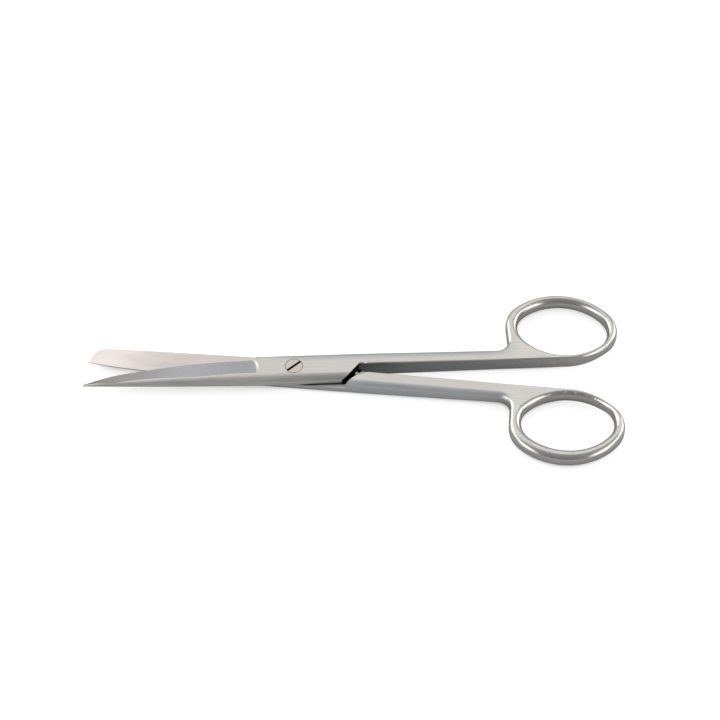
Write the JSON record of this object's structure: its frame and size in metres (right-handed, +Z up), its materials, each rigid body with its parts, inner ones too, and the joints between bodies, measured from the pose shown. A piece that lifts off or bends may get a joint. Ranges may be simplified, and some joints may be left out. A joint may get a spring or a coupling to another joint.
{
  "type": "surgical scissors",
  "caption": "Straight surgical scissors with one sharp and one blunt blade, a slotted pivot screw and oval finger rings.",
  "frame": {"origin": "on the pivot screw's axis, at the flat underside of the joint", "axes": "+X from the pivot towards the finger rings along the bisector of the halves, +Y towards the ring of the sharp half, +Z up along the screw towards its slotted head"},
  "size_m": [0.142, 0.0564, 0.005],
  "materials": {
    "sharp_steel": "satin",
    "blunt_steel": "satin",
    "screw_steel": "polished"
  },
  "bodies": {
    "lower_half": {"blunt_half": "blunt_steel", "pivot_screw": "screw_steel"},
    "upper_half": {"sharp_half": "sharp_steel"}
  },
  "joints": [
    {"name": "pivot", "type": "hinge", "parent": "lower_half", "child": "upper_half", "pos_m": [0, 0, 0], "axis": [0, 0, 1], "range_deg": [-7.8, 50]}
  ]
}
